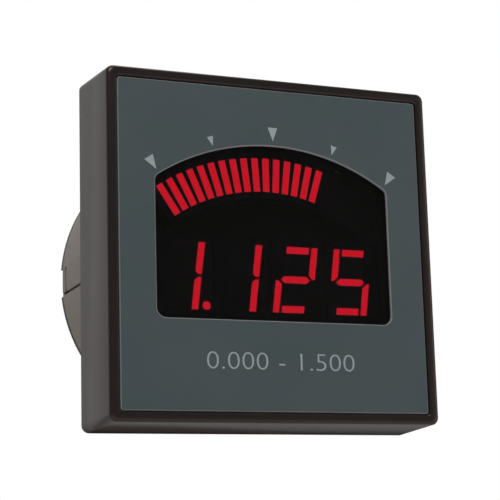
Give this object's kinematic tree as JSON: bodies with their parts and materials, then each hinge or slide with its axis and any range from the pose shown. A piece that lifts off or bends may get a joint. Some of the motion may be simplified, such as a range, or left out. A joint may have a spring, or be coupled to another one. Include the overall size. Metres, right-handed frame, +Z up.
{
  "type": "digital panel meter",
  "caption": "Square panel meter with a grey dial, an arched window over a lit arc bar graph and slanted seven-segment digits, and a round barrel behind the panel.",
  "frame": {"origin": "centre of the flange face that bears on the panel", "axes": "+X to the reader's right, +Y backwards into the panel along the barrel, +Z up"},
  "size_m": [0.1122, 0.0923, 0.1122],
  "materials": {
    "bezel_black": "satin",
    "dial_grey": "satin",
    "mark_ink": "matte",
    "smoked_filter": "gloss",
    "display_black": "matte",
    "lit_red": "satin",
    "dark_red": "satin",
    "board_black": "satin",
    "board_green": "satin",
    "chip_black": "matte",
    "emitter_white": "satin",
    "contact_gold": "satin",
    "zinc_steel": "satin",
    "lamination_steel": "satin",
    "copper": "satin",
    "brass": "satin",
    "trimmer_blue": "satin",
    "capacitor_blue": "gloss",
    "potted_blue": "satin",
    "case_grey": "satin",
    "cover_black": "satin",
    "terminal_green": "satin"
  },
  "bodies": {
    "root": {"bezel": "bezel_black", "dial_plate": "dial_grey", "scale_marks": "mark_ink", "display_filter": "smoked_filter", "bargraph_housing": "display_black", "lit_bars": "lit_red", "dark_bars": "dark_red", "bar_emitters": "emitter_white", "digit_housing_1": "display_black", "digit_housing_2": "display_black", "digit_housing_3": "display_black", "digit_housing_4": "display_black", "lit_segments_1": "lit_red", "lit_segments_2": "lit_red", "lit_segments_3": "lit_red", "lit_segments_4": "lit_red", "dark_segments_1": "dark_red", "dark_segments_2": "dark_red", "dark_segments_3": "dark_red", "dark_segments_4": "dark_red", "lit_point": "lit_red", "dark_points": "dark_red", "display_board": "board_black", "display_board_screws": "zinc_steel", "driver_chips": "chip_black", "segment_resistors": "chip_black", "board_socket": "chip_black", "board_pins": "contact_gold", "board_standoffs": "brass", "main_board": "board_green", "main_board_screws": "zinc_steel", "microcontroller": "chip_black", "converter_chip": "chip_black", "calibration_trimmers": "trimmer_blue", "power_board": "board_green", "transformer_core": "lamination_steel", "transformer_winding": "copper", "filter_capacitors": "capacitor_blue", "bridge_rectifier": "chip_black", "voltage_regulator": "chip_black", "current_transformer": "potted_blue", "current_strap": "copper", "case_base": "case_grey", "case_screws": "zinc_steel", "mounting_studs": "zinc_steel", "rear_cover": "cover_black", "current_studs": "brass", "current_inner_nuts": "brass", "current_washers": "zinc_steel", "supply_terminal_block": "terminal_green", "supply_terminal_screws": "zinc_steel", "supply_terminal_clamps": "zinc_steel"}
  },
  "joints": []
}
